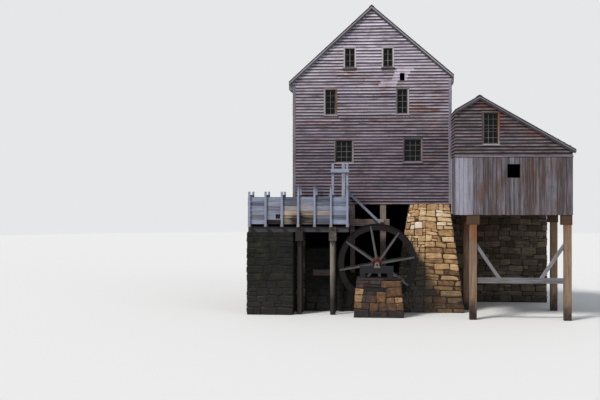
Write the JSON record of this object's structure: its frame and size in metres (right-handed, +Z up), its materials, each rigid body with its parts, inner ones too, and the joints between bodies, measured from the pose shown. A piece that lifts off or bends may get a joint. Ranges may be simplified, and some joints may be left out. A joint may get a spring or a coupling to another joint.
{
  "type": "overshot watermill",
  "caption": "Timber mill house on stone piers with a side wing on posts, a plank flume with a lifting sluice gate, and an iron bucket wheel that turns in two bearings.",
  "frame": {"origin": "middle of the base rectangle round the whole mill, at the stream bed", "axes": "+X to the right along the gable front, +Y back into the house, +Z up"},
  "size_m": [14.8, 12.84, 14.59],
  "materials": {
    "lit_stone": "rough warm sandstone",
    "pier_stone": "rough brown and purple stone",
    "dark_stone": "rough dark fieldstone",
    "beam_wood": "sawn, weathered",
    "siding": "weathered unpainted clapboard",
    "floor_boards": "worn boards",
    "shingles": "weathered shingles",
    "trim": "weathered trim",
    "window_paint": "faded pale paint",
    "glass": "old window glass",
    "door_wood": "weathered boards",
    "wing_siding": "weathered unpainted boards",
    "flume_plank": "blue-grey weathered planks",
    "log_wood": "peeled log",
    "wheel_steel": "dark oiled steel with rust",
    "spoke_iron": "brown rusty iron",
    "rusty_iron": "red rust",
    "bearing_iron": "pale worn iron",
    "dark_timber": "dark wet timber"
  },
  "bodies": {
    "building": {"corner_pier": "lit_stone", "wheel_pier": "pier_stone", "pit_wall": "dark_stone", "foundation_left": "dark_stone", "foundation_rear": "dark_stone", "foundation_right": "dark_stone", "flume_abutment": "dark_stone", "wing_foundation": "dark_stone", "floor_beams": "beam_wood", "undercroft_frame": "beam_wood", "front_wall": "siding", "rear_wall": "siding", "left_wall": "siding", "right_wall": "siding", "first_floor": "floor_boards", "second_floor": "floor_boards", "attic_floor": "floor_boards", "roof_left": "shingles", "roof_right": "shingles", "trim_boards": "trim", "window_frames": "window_paint", "window_glass": "glass", "entry_door": "door_wood", "entry_door_frame": "trim", "wing_front_wall": "wing_siding", "wing_left_wall": "wing_siding", "wing_right_wall": "wing_siding", "wing_rear_wall": "wing_siding", "wing_floors": "floor_boards", "wing_roof_left": "shingles", "wing_roof_right": "shingles", "wing_trim": "trim", "wing_posts": "beam_wood", "wing_trestle": "flume_plank", "flume_floor": "flume_plank", "flume_side_near": "flume_plank", "flume_side_far": "flume_plank", "flume_stanchions": "flume_plank", "flume_ties": "flume_plank", "flume_joists": "beam_wood", "flume_beams": "beam_wood", "flume_bents": "log_wood", "flume_brace": "flume_plank", "gate_gantry": "flume_plank", "wheel_bearings": "bearing_iron", "bearing_timbers": "dark_timber"},
    "wheel": {"wheel_shroud_front": "wheel_steel", "wheel_shroud_rear": "wheel_steel", "wheel_sole": "wheel_steel", "wheel_buckets": "wheel_steel", "wheel_spokes": "spoke_iron", "wheel_hubs": "rusty_iron", "wheel_shaft": "rusty_iron"},
    "gate": {"gate_board": "flume_plank", "gate_stem": "flume_plank"}
  },
  "joints": [
    {"name": "wheel_spin", "type": "hinge", "parent": "building", "child": "wheel", "pos_m": [-1.37, -4.485, 2.385], "axis": [0, 1, 0], "continuous": true},
    {"name": "gate_lift", "type": "slide", "parent": "building", "child": "gate", "axis": [0, 0, 1], "range_m": [0, 0.45]}
  ]
}
